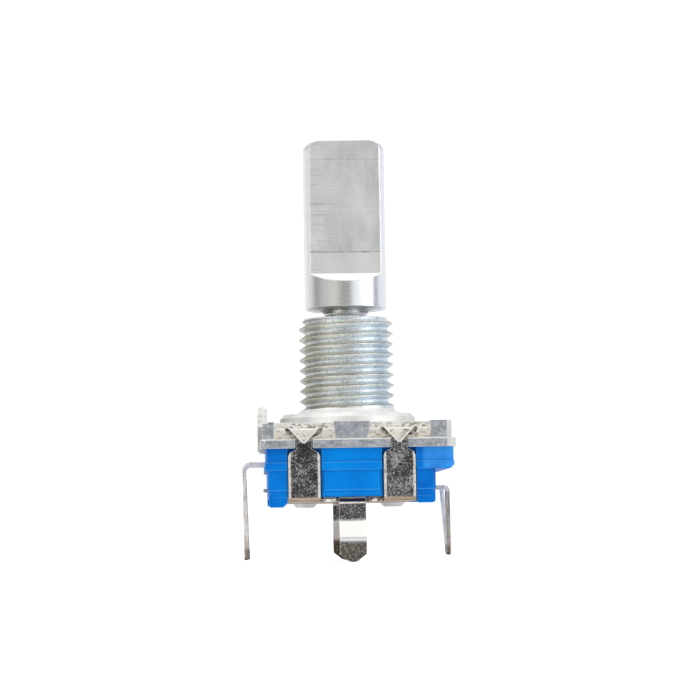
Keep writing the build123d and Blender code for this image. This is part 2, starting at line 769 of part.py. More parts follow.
def make_claw():
    """Front claw at +X: shank, neck and the two spread prongs."""
    mid = CLAW_FACE_Y - SHEET / 2
    level = PLATE_TOP_Z - SHEET / 2
    shank = strip_yz(
        [(-ROOT_Y, level), (-mid, level), (-mid, FLANGE_BOTTOM_Z + OVER)],
        CLAW_WIDTH,
        SHEET,
        CLAW_BEND_R,
        CLAW_X,
    )
    half = CLAW_WIDTH / 2
    neck = CLAW_NECK_WIDTH / 2
    front = (-CLAW_FACE_Y - OVER, -CLAW_FACE_Y + OVER)
    shoulder_low = CLAW_SHOULDER_Z - CLAW_SHOULDER_R
    for side in (-1, 1):
        shank -= upright(
            [
                (CLAW_X + side * neck, CLAW_SHOULDER_Z),
                (CLAW_X + side * (half - CLAW_SHOULDER_R), CLAW_SHOULDER_Z),
                (CLAW_X + side * (half - 0.12), CLAW_SHOULDER_Z - 0.2),
                (CLAW_X + side * (half + 0.01), shoulder_low),
                (CLAW_X + side * (half + OVER), shoulder_low),
                (CLAW_X + side * (half + OVER), 0),
                (CLAW_X + side * neck, 0),
            ],
            *front,
        )
    root_z = LEDGE_TOP_Z + PRONG_GAP
    shank -= block(CLAW_X - half, CLAW_X + half, *front, root_z, 0)
    notch_slope = (PRONG_INNER[1] - NOTCH_Z) / PRONG_INNER[0]
    rise = notch_slope * neck
    shank -= upright(
        [(CLAW_X, NOTCH_Z), (CLAW_X + neck, NOTCH_Z + rise), (CLAW_X - neck, NOTCH_Z + rise)], *front
    )
    for side in (-1, 1):
        shank += upright(
            [
                (CLAW_X + side * (root_z - NOTCH_Z - 0.05) / notch_slope, root_z - 0.05),
                (CLAW_X + side * (neck - 0.02), root_z - 0.05),
                (CLAW_X + side * (neck - 0.02), root_z),
                (CLAW_X + side * PRONG_OUTER[0], PRONG_OUTER[1]),
                (CLAW_X + side * PRONG_TIP[0], PRONG_TIP[1]),
                (CLAW_X + side * PRONG_INNER[0], PRONG_INNER[1]),
            ],
            -CLAW_FACE_Y,
            -CLAW_FACE_Y + SHEET,
        )
    return shank


def make_snap_lug():
    """Front lug: down from the plate's edge, kinked outwards and back."""
    mid = SNAP_FACE_Y - SHEET / 2
    kink = SNAP_KINK_Y - SHEET / 2
    level = PLATE_TOP_Z - SHEET / 2
    leg = strip_yz(
        [
            (-ROOT_Y, level),
            (-mid, level),
            (-mid, SNAP_BEND_Z),
            (-kink, SNAP_KINK_Z),
            (-mid + 0.05, SNAP_TIP_Z - 0.2),
        ],
        SNAP_WIDTH,
        SHEET,
        SNAP_BEND_R,
    )
    half = SNAP_WIDTH / 2
    outline = upright(
        [
            (-half, PLATE_TOP_Z + OVER),
            (-half, SNAP_CORNER_Z),
            (-0.3, SNAP_TIP_Z + 0.07),
            (0, SNAP_TIP_Z),
            (0.3, SNAP_TIP_Z + 0.07),
            (half, SNAP_CORNER_Z),
            (half, PLATE_TOP_Z + OVER),
        ],
        -SNAP_KINK_Y - OVER,
        -ROOT_Y + OVER,
    )
    return leg & outline


def make_mounting_plate():
    bottom = PLATE_TOP_Z - SHEET
    plate = block(-PLATE_HALF_X, PLATE_HALF_X, -PLATE_HALF_Y, PLATE_HALF_Y, bottom, PLATE_TOP_Z)
    tools = []
    for x_side in (-1, 1):
        for x in (SNAP_WIDTH / 2, CLAW_X - CLAW_WIDTH / 2 - RELIEF):
            for y_side in (-1, 1):
                tools.append(
                    block(
                        x_side * x,
                        x_side * (x + RELIEF),
                        y_side * (PLATE_HALF_Y - RELIEF_DEPTH),
                        y_side * (PLATE_HALF_Y + OVER),
                        bottom - OVER,
                        PLATE_TOP_Z + OVER,
                    )
                )
    plate -= tools
    claws = make_claw()
    claws += mirrored_x(claws)
    front = claws + make_snap_lug()
    plate += front + mirrored_y(front)
    dimple = turned(
        (0, SEAT_Z),
        (DIMPLE_R - DIMPLE_SLOPE, SEAT_Z),
        (DIMPLE_R, bottom),
        (DIMPLE_R, bottom + 0.1),
        (0, bottom + 0.1),
    )
    for x_side in (-1, 1):
        plate += Location((x_side * DIMPLE_X, 0, 0)) * dimple
    return plate


def wiper_b_x():
    """Tip position that puts channel B a quarter of a pitch away from channel A."""
    pitch = math.radians(360 / DETENTS)
    angle_a = math.atan2(-TERMINAL_Y, WIPER_A_X)
    pitches = round(-2 * angle_a / pitch)
    angle_b = angle_a + (pitches + 0.25) * pitch
    return TERMINAL_Y / math.tan(angle_b)


parts = {
    "shaft": make_shaft(),
    "retaining_ring": make_retaining_ring(),
    "bushing_flange": make_bushing_flange(),
    "detent_spring": make_detent_spring(),
    "rotor": make_rotor(),
    "code_disc": make_code_disc(),
    "terminal_a": make_encoder_terminal(-TERMINAL_Y, LEAN_A),
    "terminal_c": make_encoder_terminal(0.0, LEAN_C),
    "terminal_b": make_encoder_terminal(TERMINAL_Y, LEAN_B),
    "wiper_a": make_wiper(-TERMINAL_Y, WIPER_A_X),
    "wiper_c": make_wiper(0.0, WIPER_C_X),
    "wiper_b": make_wiper(TERMINAL_Y, wiper_b_x()),
    "terminal_d": make_terminal_d(),
    "terminal_e": make_terminal_e(),
    "snap_dome": make_snap_dome(),
    "dome_film": make_dome_film(),
    "plunger": make_plunger(),
    "mounting_plate": make_mounting_plate(),
}
parts["encoder_base"] = make_encoder_base(
    [parts[name] for name in ("terminal_a", "terminal_c", "terminal_b")]
)
parts["switch_base"] = make_switch_base([parts["terminal_d"], parts["terminal_e"]])

for name, part in parts.items():
    solids = part.solids()
    print(name, "valid", part.is_valid, "solids", len(solids), "volume", round(part.volume, 3))
    export_step(part, f"parts/{name}.step")
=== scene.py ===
import math

import bpy
from mathutils import Matrix, Vector


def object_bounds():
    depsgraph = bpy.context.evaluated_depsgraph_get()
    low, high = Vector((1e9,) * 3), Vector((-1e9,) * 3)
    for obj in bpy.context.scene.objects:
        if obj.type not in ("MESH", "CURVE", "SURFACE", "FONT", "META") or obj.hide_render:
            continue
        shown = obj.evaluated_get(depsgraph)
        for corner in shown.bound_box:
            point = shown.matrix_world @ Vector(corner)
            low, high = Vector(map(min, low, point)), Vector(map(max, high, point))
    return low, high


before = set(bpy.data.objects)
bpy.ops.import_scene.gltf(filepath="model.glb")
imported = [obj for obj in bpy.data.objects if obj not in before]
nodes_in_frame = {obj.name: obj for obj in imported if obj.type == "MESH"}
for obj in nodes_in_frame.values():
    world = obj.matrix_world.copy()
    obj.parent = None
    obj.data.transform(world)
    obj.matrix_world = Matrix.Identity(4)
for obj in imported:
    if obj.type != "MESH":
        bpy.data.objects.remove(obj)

cad_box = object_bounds()
MM = 0.001
PER_MM = 1000.0  # object coordinates are metres; patterns are written per millimetre

scene = bpy.context.scene

# --- camera: a long lens, level with the board and a little to the object's left ---
FRAME_PX = 700
FOCAL_PX = 2400.0
SENSOR_MM = 36.0
VIEW_DISTANCE = 175.4 * MM
VIEW_YAW = math.radians(2.5)
EYE_HEIGHT = -8.2 * MM
AIM_HEIGHT = 4.74 * MM
AIM_RIGHT = 0.27 * MM
ROLL = math.radians(0.95)
CLIP_M = (0.01, 10.0)
EXPOSURE = 0.2

# --- room: (bearing, brightness); 0 degrees is the front (-Y) and 90 the object's right (+X) ---
WHITE = 0.92
ROOM = [
    (-180, WHITE),
    (-108, WHITE),
    (-100, 0.38),
    (-88, 0.36),
    (-82, 0.56),
    (-45, 0.50),
    (-34, 0.66),
    (-20, 0.54),
    (-14, 0.20),
    (13, 0.18),
    (19, WHITE),
    (78, WHITE),
    (84, 0.22),
    (97, 0.25),
    (105, WHITE),
    (180, WHITE),
]
# by the upward component of the direction: the fade to plain white overhead, and the walls' brightness
CEILING_FADE = [(0.45, 0.0), (0.70, 1.0)]
UPPER_WALL = [(0.16, 1.0), (0.26, 0.75), (0.45, 0.75), (0.60, 1.0)]

# --- floor and lights, in metres and watts ---
FLOOR_HALF = 3.0
FLOOR_GAP = 0.02 * MM
FLOOR_GLOW = 0.5
FLOOR_REFLECTED = 0.88
LIGHT_AIM = (0, 0, 0.005)
SOFTBOXES = [  # (name, place, size, power)
    ("key_left", (-0.35, -0.25, 0.30), (0.35, 0.35), 0.6),
    ("fill_right", (0.40, -0.20, 0.15), (0.30, 0.45), 0.4),
]

# --- measures of the object that the patterns follow, in millimetres ---
ABOVE_ALL = 30.0
BELOW_ALL = -12.0
SHAFT_R = 3.0
FLAT_Y = -1.5
RUNOUT_Z = (9.5, 10.22)
# where the flat's sides get a painted highlight
SIDE_HIGHLIGHT_X = (2.54, 2.62)  # at both sides of the flat
FLAT_END_Z = 10.2
CUT_LINES = [  # (z, strength, colour) of the cutter's steps on the flat
    (11.8, 0.8, (0.25, 0.24, 0.24)),
    (14.95, 0.5, (0.85, 0.85, 0.84)),
    (18.5, 0.5, (0.85, 0.85, 0.84)),
    (18.6, 0.4, (0.40, 0.39, 0.39)),
]
THREAD_PITCH = 0.75
THREAD_CREST_PHASE = 0.67
THREAD_WAVER = 0.12  # in turns
THREAD_R = (2.95, 3.6)
THREAD_Z = (0.35, 7.1)
THREAD_STREAKS = [(0.36, (0.70, 0.72, 0.76)), (0.44, (1.0, 1.0, 0.98)), (0.62, (0.96, 1.0, 1.0))]
FLANGE_Z = (-2.7, -0.7)
LEDGE_TOP_Z = -1.95
LUG_RIGHT_X = -5.87  # of the casting's locating lug
LUG_Z = (-0.85, 1.0)
TIER_STEP_Z = -1.2
BLOCK_TOP_Z = -0.75
PROUD_FACE_Y = 5.9
PROUD_FACE_RIGHT_X = 6.74
RECESS_X = (-5.5, 5.7)
RECESS_Y = (5.15, 5.88)  # between the tiers' face and the proud faces
CLAW_X = 3.37
CLAW_BORDER = (0.97, 1.3)  # from the claw's middle line, the sheared border at each side
CLAW_BORDER_TOP_Z = -2.9
NOTCH_Z = -2.22
NOTCH_SLOPE = 1.08
NOTCH_HIGHLIGHT = (-0.13, 0.1)  # height range above the notch's edge
NOTCH_FOOT_Z = -2.25
PRONG_FOOT_Z = -2.1
UNDERSIDE_Z = (-6.43, -6.12)  # the plate and the bends of its claws
STANDOFF_Z = (-6.85, -6.44)
STANDOFF_Y = 1.1
PLATE_EDGE_Z = (-6.18, -6.06)
PLATE_EDGE_Y = 5.4  # the plate's edge and the snap lugs' bends lie past this
CENTRE_HALF_X = 2.15  # between the claws
GATE_X = (5.2, 8.0)  # the blue corner by the moulding gate
GATE_Z = (-4.0, -2.5)
SHADE_Z = (-2.95, -2.5)
SNAP_HALF_X = 0.97
ENCODER_BEND_Z = (-4.0, -3.3)
SWITCH_BEND_Z = (-5.65, -5.2)
SNAP_KINK_Z = -9.0
SNAP_BEND_Z = -7.8
LEG_TIP_Z = -9.75


# --- node helpers ---
def link(tree, source, target):
    tree.links.new(source, target)


def new_material(name, **values):
    material = bpy.data.materials.new(name)
    material.use_nodes = True
    shader = material.node_tree.nodes["Principled BSDF"]
    for socket, value in values.items():
        shader.inputs[socket.replace("_", " ")].default_value = value
    return material, material.node_tree, shader


def coordinates(tree, scale=(1.0, 1.0, 1.0)):
    """Object coordinates in millimetres, stretched by scale."""
    source = tree.nodes.new("ShaderNodeTexCoord")
    mapping = tree.nodes.new("ShaderNodeMapping")
    mapping.inputs["Scale"].default_value = [PER_MM * s for s in scale]
    link(tree, source.outputs["Object"], mapping.inputs["Vector"])
    return mapping.outputs["Vector"]


def parts_of(tree, vector):
    """Separate (x, y, z) outputs of a vector."""
    node = tree.nodes.new("ShaderNodeSeparateXYZ")
    link(tree, vector, node.inputs[0])
    return node.outputs


def noise(tree, vector, scale, detail=4.0, roughness=0.6):
    node = tree.nodes.new("ShaderNodeTexNoise")
    node.inputs["Scale"].default_value = scale
    node.inputs["Detail"].default_value = detail
    node.inputs["Roughness"].default_value = roughness
    link(tree, vector, node.inputs["Vector"])
    return node.outputs["Fac"]


def ramp(tree, value, stops):
    node = tree.nodes.new("ShaderNodeValToRGB")
    points = node.color_ramp.elements
    while len(points) < len(stops):
        points.new(0.5)
    for point, (place, colour) in zip(points, stops):
        point.position = place
        if isinstance(colour, (int, float)):
            colour = (colour, colour, colour)
        point.color = (*colour, 1.0)
    link(tree, value, node.inputs["Fac"])
    return node.outputs["Color"]


def math_node(tree, kind, *values, clamp=False):
    node = tree.nodes.new("ShaderNodeMath")
    node.operation = kind
    node.use_clamp = clamp
    for socket, value in zip(node.inputs, values):
        if isinstance(value, (int, float)):
            socket.default_value = value
        else:
            link(tree, value, socket)
    return node.outputs[0]


def times(tree, a, b):
    return math_node(tree, "MULTIPLY", a, b)


def radius_of(tree, x, y):
    return math_node(tree, "SQRT", math_node(tree, "ADD", times(tree, x, x), times(tree, y, y)))


def within(tree, value, low, high, soft=0.02):
    """1 where low < value < high, with soft sides."""
    rise = math_node(tree, "DIVIDE", math_node(tree, "SUBTRACT", value, low - soft), soft, clamp=True)
    fall = math_node(tree, "DIVIDE", math_node(tree, "SUBTRACT", high + soft, value), soft, clamp=True)
    return times(tree, rise, fall)


def mix(tree, factor, a, b, kind="MIX"):
    node = tree.nodes.new("ShaderNodeMix")
    node.data_type = "RGBA"
    node.blend_type = kind
    for socket, value in ((node.inputs[0], factor), (node.inputs[6], a), (node.inputs[7], b)):
        if isinstance(value, tuple):
            socket.default_value = (*value, 1.0)
        elif isinstance(value, (int, float)):
            socket.default_value = value if socket.type == "VALUE" else (value, value, value, 1.0)
        else:
            link(tree, value, socket)
    return node.outputs[2]


def bump(tree, value, distance_mm, normal=None):
    node = tree.nodes.new("ShaderNodeBump")
    node.inputs["Distance"].default_value = distance_mm * MM
    link(tree, value, node.inputs["Height"])
    if normal is not None:
        link(tree, normal, node.inputs["Normal"])
    return node.outputs["Normal"]


def soft_edges(tree, radius_mm):
    """(rounded normal, edge mask) from the bevel node."""
    rounded = tree.nodes.new("ShaderNodeBevel")
    rounded.samples = 6
    rounded.inputs["Radius"].default_value = radius_mm * MM
    geometry = tree.nodes.new("ShaderNodeNewGeometry")
    dot = tree.nodes.new("ShaderNodeVectorMath")
    dot.operation = "DOT_PRODUCT"
    link(tree, rounded.outputs[0], dot.inputs[0])
    link(tree, geometry.outputs["Normal"], dot.inputs[1])
    mask = math_node(tree, "SUBTRACT", 1.0, dot.outputs["Value"])
    return rounded.outputs[0], math_node(tree, "MULTIPLY", mask, 8.0, clamp=True)


# --- staging ---
def add_camera():
    data = bpy.data.cameras.new("camera")
    data.sensor_width = SENSOR_MM
    data.lens = FOCAL_PX / FRAME_PX * SENSOR_MM
    data.clip_start, data.clip_end = CLIP_M
    camera = bpy.data.objects.new("camera", data)
    scene.collection.objects.link(camera)
    right = Vector((math.cos(VIEW_YAW), -math.sin(VIEW_YAW), 0.0))
    back = Vector((-math.sin(VIEW_YAW), -math.cos(VIEW_YAW), 0.0))
    eye = back * VIEW_DISTANCE
    eye.z = EYE_HEIGHT
    target = right * AIM_RIGHT
    target.z = AIM_HEIGHT
    turn = (target - eye).to_track_quat("-Z", "Y").to_matrix()
    turn = turn @ Matrix.Rotation(-ROLL, 3, "Z")
    camera.matrix_world = Matrix.Translation(eye) @ turn.to_4x4()
    scene.camera = camera


def add_floor():
    level = cad_box[0][2] - FLOOR_GAP
    mesh = bpy.data.meshes.new("floor")
    corners = [(x * FLOOR_HALF, y * FLOOR_HALF, level) for x, y in ((-1, -1), (1, -1), (1, 1), (-1, 1))]
    mesh.from_pydata(corners, [], [(0, 1, 2, 3)])
    floor = bpy.data.objects.new("floor", mesh)
    scene.collection.objects.link(floor)
    material, tree, seen = new_material(
        "floor_white",
        Base_Color=(0.9, 0.9, 0.9, 1.0),
        Roughness=0.9,
        Emission_Color=(1.0, 1.0, 1.0, 1.0),
        Emission_Strength=FLOOR_GLOW,
    )
    # reflections see a greyer floor, so that the metal stands out against the white one
    reflected = tree.nodes.new("ShaderNodeBsdfDiffuse")
    reflected.inputs["Color"].default_value = [FLOOR_REFLECTED] * 3 + [1.0]
    path = tree.nodes.new("ShaderNodeLightPath")
    choose = tree.nodes.new("ShaderNodeMixShader")
    link(tree, path.outputs["Is Glossy Ray"], choose.inputs[0])
    link(tree, seen.outputs[0], choose.inputs[1])
    link(tree, reflected.outputs[0], choose.inputs[2])
    link(tree, choose.outputs[0], tree.nodes["Material Output"].inputs["Surface"])
    mesh.materials.append(material)


def add_softbox(name, place, size, watts):
    data = bpy.data.lights.new(name, "AREA")
    data.shape = "RECTANGLE"
    data.size = size[0]
    data.size_y = size[1]
    data.energy = watts
    lamp = bpy.data.objects.new(name, data)
    scene.collection.objects.link(lamp)
    direction = Vector(LIGHT_AIM) - Vector(place)
    lamp.rotation_mode = "QUATERNION"
    lamp.rotation_quaternion = direction.to_track_quat("-Z", "Y")
    lamp.location = place


def add_world():
    """White studio with darker bearings, seen plain white by the camera itself."""
    world = bpy.data.worlds.new("studio")
    scene.world = world
    world.use_nodes = True
    tree = world.node_tree
    tree.nodes.clear()
    output = tree.nodes.new("ShaderNodeOutputWorld")
    plain = tree.nodes.new("ShaderNodeBackground")
    room = tree.nodes.new("ShaderNodeBackground")
    path = tree.nodes.new("ShaderNodeLightPath")
    choose = tree.nodes.new("ShaderNodeMixShader")
    source = tree.nodes.new("ShaderNodeTexCoord")
    x, y, z = parts_of(tree, source.outputs["Generated"])
    bearing = math_node(tree, "ARCTAN2", x, times(tree, y, -1.0))
    turn = math_node(tree, "MULTIPLY_ADD", bearing, 0.5 / math.pi, 0.5)
    walls = ramp(tree, turn, [(degrees / 360 + 0.5, level) for degrees, level in ROOM])
    walls = mix(tree, 1.0, walls, ramp(tree, z, UPPER_WALL), "MULTIPLY")
    overhead = ramp(tree, z, CEILING_FADE)
    link(tree, mix(tree, overhead, walls, WHITE), room.inputs["Color"])
    link(tree, path.outputs["Is Camera Ray"], choose.inputs[0])
    link(tree, room.outputs[0], choose.inputs[1])
    link(tree, plain.outputs[0], choose.inputs[2])
    link(tree, choose.outputs[0], output.inputs[0])
    plain.inputs["Color"].default_value = (1.0, 1.0, 1.0, 1.0)


# --- materials ---
def machined_aluminium():
    """Turned bright, with a milled flat that is satin and scored across, and painted highlights on the flat's
    sides and the run-out.
    """
    material, tree, shader = new_material("machined_aluminium", Metallic=1.0)
    plain = coordinates(tree)
    x, y, z = parts_of(tree, plain)
    flat = times(
        tree,
        within(tree, y, FLAT_Y - 0.02, FLAT_Y + 0.02, 0.01),
        within(tree, z, FLAT_END_Z, ABOVE_ALL, 0.05),
    )
    cloud = noise(tree, coordinates(tree, (0.5, 0.5, 0.22)), 1.0, 5.0, 0.65)
    grain = noise(tree, plain, 9.0, 4.0, 0.6)
    scores = noise(tree, coordinates(tree, (0.35, 0.35, 9.0)), 1.0, 3.0, 0.5)
    specks = ramp(tree, noise(tree, plain, 7.0, 4.0, 0.7), [(0.58, 0.0), (0.68, 1.0)])
    streaks = noise(tree, coordinates(tree, (3.0, 3.0, 0.8)), 1.0, 4.0, 0.7)

    satin = ramp(tree, cloud, [(0.32, (0.58, 0.59, 0.60)), (0.68, (0.78, 0.78, 0.77))])
    satin = mix(tree, times(tree, specks, 0.7), satin, (0.92, 0.92, 0.91))
    # the cutter's scores show most at the flat's left side
    reach = ramp(tree, math_node(tree, "MULTIPLY_ADD", x, 0.2, 0.5), [(0.1, 1.0), (0.45, 0.15)])
    scored = times(tree, ramp(tree, scores, [(0.54, 0.0), (0.66, 1.0)]), reach)
    satin = mix(tree, times(tree, scored, 0.4), satin, (0.36, 0.35, 0.36))
    last_pass = within(tree, z, FLAT_END_Z, CUT_LINES[0][0], 0.05)
    satin = mix(tree, times(tree, last_pass, 0.5), satin, (0.82, 0.82, 0.80))
    for level, strength, tone in CUT_LINES:
        line = times(tree, within(tree, z, level - 0.03, level + 0.03, 0.03), strength)
        line = times(tree, line, ramp(tree, streaks, [(0.35, 0.2), (0.6, 1.0)]))
        satin = mix(tree, line, satin, tone)
    # the round wall's shading from left to right, on top of what it reflects; it turns with the shaft
    side = math_node(tree, "MULTIPLY_ADD", x, 0.15, 0.5)
    bright = ramp(
        tree,
        side,
        [
            (0.04, (0.86, 0.84, 0.86)),
            (0.10, (0.70, 0.68, 0.71)),
            (0.18, (0.56, 0.56, 0.55)),
            (0.45, (0.76, 0.76, 0.73)),
            (0.55, (0.84, 0.86, 0.88)),
            (0.90, (0.76, 0.78, 0.86)),
        ],
    )
    worn = ramp(tree, streaks, [(0.52, 0.0), (0.72, 0.4)])
    bright = mix(tree, worn, bright, (0.50, 0.50, 0.50))
    radius = radius_of(tree, x, y)
    # painted highlight on the run-out and along the flat's sides, dimmer on the left
    runout = times(tree, within(tree, z, *RUNOUT_Z), math_node(tree, "LESS_THAN", y, FLAT_Y + 0.05))
    runout = times(tree, runout, math_node(tree, "LESS_THAN", radius, SHAFT_R - 0.03))
    side_highlight = times(tree, within(tree, math_node(tree, "ABSOLUTE", x), *SIDE_HIGHLIGHT_X, 0.03), flat)
    side_highlight = times(tree, side_highlight, ramp(tree, streaks, [(0.35, 0.5), (0.6, 0.9)]))
    side_highlight = times(tree, side_highlight, ramp(tree, side, [(0.3, 0.35), (0.7, 0.9)]))
    painted_highlight = math_node(tree, "MAXIMUM", runout, side_highlight)
    colour = mix(tree, painted_highlight, mix(tree, flat, bright, satin), (0.98, 0.98, 0.96))
    link(tree, colour, shader.inputs["Base Color"])
    satin_rough = ramp(tree, cloud, [(0.3, 0.46), (0.7, 0.56)])
    bright_rough = ramp(tree, grain, [(0.3, 0.24), (0.7, 0.34)])
    rough = mix(tree, painted_highlight, mix(tree, flat, bright_rough, satin_rough), 0.6)
    link(tree, rough, shader.inputs["Roughness"])
    # painted highlights: the run-out and the flat's sides are white and not metallic, so they scatter light
    # like chalk
    link(tree, math_node(tree, "SUBTRACT", 1.0, painted_highlight), shader.inputs["Metallic"])
    rounded, _ = soft_edges(tree, 0.05)
    relief = times(tree, math_node(tree, "ADD", scored, times(tree, grain, 0.3)), flat)
    link(tree, bump(tree, relief, 0.008, rounded), shader.inputs["Normal"])
    return material


def thread_pattern(tree, x, y, z):
    """(mask, colour) of the thread: painted highlights on the crests with a painted shade line under each."""
    turn = math_node(tree, "DIVIDE", math_node(tree, "ARCTAN2", y, x), 2 * math.pi)
    climb = math_node(tree, "SUBTRACT", math_node(tree, "DIVIDE", z, THREAD_PITCH), turn)
    waver = noise(tree, coordinates(tree), 2.5, 3.0, 0.6)
    climb = math_node(tree, "MULTIPLY_ADD", waver, THREAD_WAVER, climb)
    phase = math_node(tree, "FRACT", math_node(tree, "ADD", climb, THREAD_CREST_PHASE - THREAD_WAVER / 2))
    mask = times(tree, within(tree, radius_of(tree, x, y), *THREAD_R), within(tree, z, *THREAD_Z))
    # painted light and shade across each turn: bright crests, a dark line under each
    painted_flank_light = ramp(
        tree,
        phase,
        [
            (0.0, (0.84, 0.88, 0.92)),
            (0.30, (0.92, 0.96, 1.0)),
            (0.42, (1.0, 0.98, 0.94)),
            (0.49, (1.0, 0.96, 0.90)),
            (0.54, (0.30, 0.25, 0.22)),
            (0.62, (0.98, 0.96, 0.88)),
            (0.80, (0.96, 0.96, 0.92)),
            (1.0, (0.84, 0.88, 0.92)),
        ],
    )
    # stands in for coloured light: warm grey on the left, turning blue on the right
    side = math_node(tree, "MULTIPLY_ADD", x, 0.14, 0.5, clamp=True)
    tint = ramp(tree, side, [(0.1, (0.68, 0.67, 0.62)), (0.5, (1.0, 1.0, 1.0)), (0.85, (0.84, 0.91, 1.0))])
    colour = mix(tree, 1.0, painted_flank_light, tint, "MULTIPLY")
    worn = ramp(tree, noise(tree, coordinates(tree), 6.0, 5.0, 0.7), [(0.36, 0.62), (0.56, 1.0)])
    colour = mix(tree, 1.0, colour, worn, "MULTIPLY")
    drawn = ramp(tree, noise(tree, coordinates(tree, (0.5, 0.5, 6.0)), 1.0, 5.0, 0.7), THREAD_STREAKS)
    return mask, mix(tree, 1.0, colour, drawn, "MULTIPLY")


def zinc():
    """Plated casting: bluish proud faces, yellowish recesses and a bright thread."""
    material, tree, shader = new_material("plated_zinc", Metallic=1.0)
    plain = coordinates(tree)
    x, y, z = parts_of(tree, plain)
    grain = noise(tree, plain, 7.0, 6.0, 0.7)
    cloud = noise(tree, plain, 0.7, 3.0, 0.5)
    mottle = noise(tree, coordinates(tree, (3.2, 3.2, 4.5)), 1.0, 5.0, 0.7)
    rounded, edge = soft_edges(tree, 0.07)

    body = ramp(tree, cloud, [(0.35, (0.84, 0.85, 0.85)), (0.65, (1.0, 1.0, 0.97))])
    # stands in for shading by the room: a little darker towards both sides
    side = math_node(tree, "MULTIPLY_ADD", x, 0.1, 0.5)
    across = ramp(tree, side, [(0.0, 0.68), (0.4, 1.0), (0.6, 0.98), (0.8, 0.86)])
    body = mix(tree, 1.0, body, across, "MULTIPLY")
    flange = within(tree, z, *FLANGE_Z)
    depth = math_node(tree, "ABSOLUTE", y)
    proud = times(tree, flange, math_node(tree, "GREATER_THAN", depth, PROUD_FACE_Y))
    proud = times(tree, proud, math_node(tree, "LESS_THAN", x, PROUD_FACE_RIGHT_X))
    recess = times(tree, within(tree, z, LEDGE_TOP_Z, BLOCK_TOP_Z), within(tree, x, *RECESS_X))
    recess = times(tree, recess, within(tree, depth, *RECESS_Y))
    golden = ramp(tree, mottle, [(0.35, (0.44, 0.38, 0.32)), (0.49, (1.0, 0.96, 0.88))])
    dusky = ramp(tree, mottle, [(0.39, (0.36, 0.34, 0.32)), (0.52, (1.0, 0.99, 0.93))])
    upper = within(tree, z, TIER_STEP_Z + 0.02, BLOCK_TOP_Z - 0.08)
    body = mix(tree, recess, body, mix(tree, upper, golden, dusky))
    stains = noise(tree, coordinates(tree, (1.3, 1.3, 2.6)), 1.0, 5.0, 0.7)
    stains = ramp(tree, stains, [(0.4, 0.0), (0.7, 1.0)])
    slate = mix(tree, stains, (0.33, 0.37, 0.41), (0.60, 0.63, 0.67))
    speckle = noise(tree, plain, 5.5, 5.0, 0.75)
    slate = mix(tree, ramp(tree, speckle, [(0.52, 0.0), (0.62, 0.55)]), slate, (0.90, 0.89, 0.88))
    slate = mix(tree, ramp(tree, speckle, [(0.36, 0.45), (0.44, 0.0)]), slate, (0.22, 0.21, 0.22))
    body = mix(tree, proud, body, slate)
    # painted highlights along the tier steps, the ledge top and the flange's edges
    steps = math_node(
        tree,
        "MAXIMUM",
        within(tree, z, TIER_STEP_Z - 0.09, TIER_STEP_Z + 0.02, 0.03),
        within(tree, z, BLOCK_TOP_Z - 0.06, BLOCK_TOP_Z + 0.02, 0.03),
    )
    ledge = times(tree, within(tree, z, LEDGE_TOP_Z - 0.08, LEDGE_TOP_Z, 0.03), proud)
    painted_rim_highlights = math_node(tree, "MAXIMUM", times(tree, steps, recess), ledge)
    painted_rim_highlights = math_node(tree, "MAXIMUM", painted_rim_highlights, times(tree, edge, flange))
    body = mix(tree, times(tree, painted_rim_highlights, 0.8), body, (0.97, 0.95, 0.91))
    lug = times(tree, math_node(tree, "LESS_THAN", x, LUG_RIGHT_X), within(tree, z, *LUG_Z))
    pale = ramp(tree, mottle, [(0.34, (0.70, 0.72, 0.69)), (0.52, (1.0, 1.0, 0.98))])
    body = mix(tree, lug, body, pale)
    threaded, thread_colour = thread_pattern(tree, x, y, z)
    link(tree, mix(tree, threaded, body, thread_colour), shader.inputs["Base Color"])

    rough = ramp(tree, grain, [(0.3, 0.42), (0.7, 0.54)])
    rough = mix(tree, proud, rough, 0.42)
    rough = mix(tree, lug, rough, 0.62)
    rough = mix(tree, threaded, rough, 0.36)
    link(tree, rough, shader.inputs["Roughness"])
    link(tree, bump(tree, grain, 0.012, rounded), shader.inputs["Normal"])
    return material


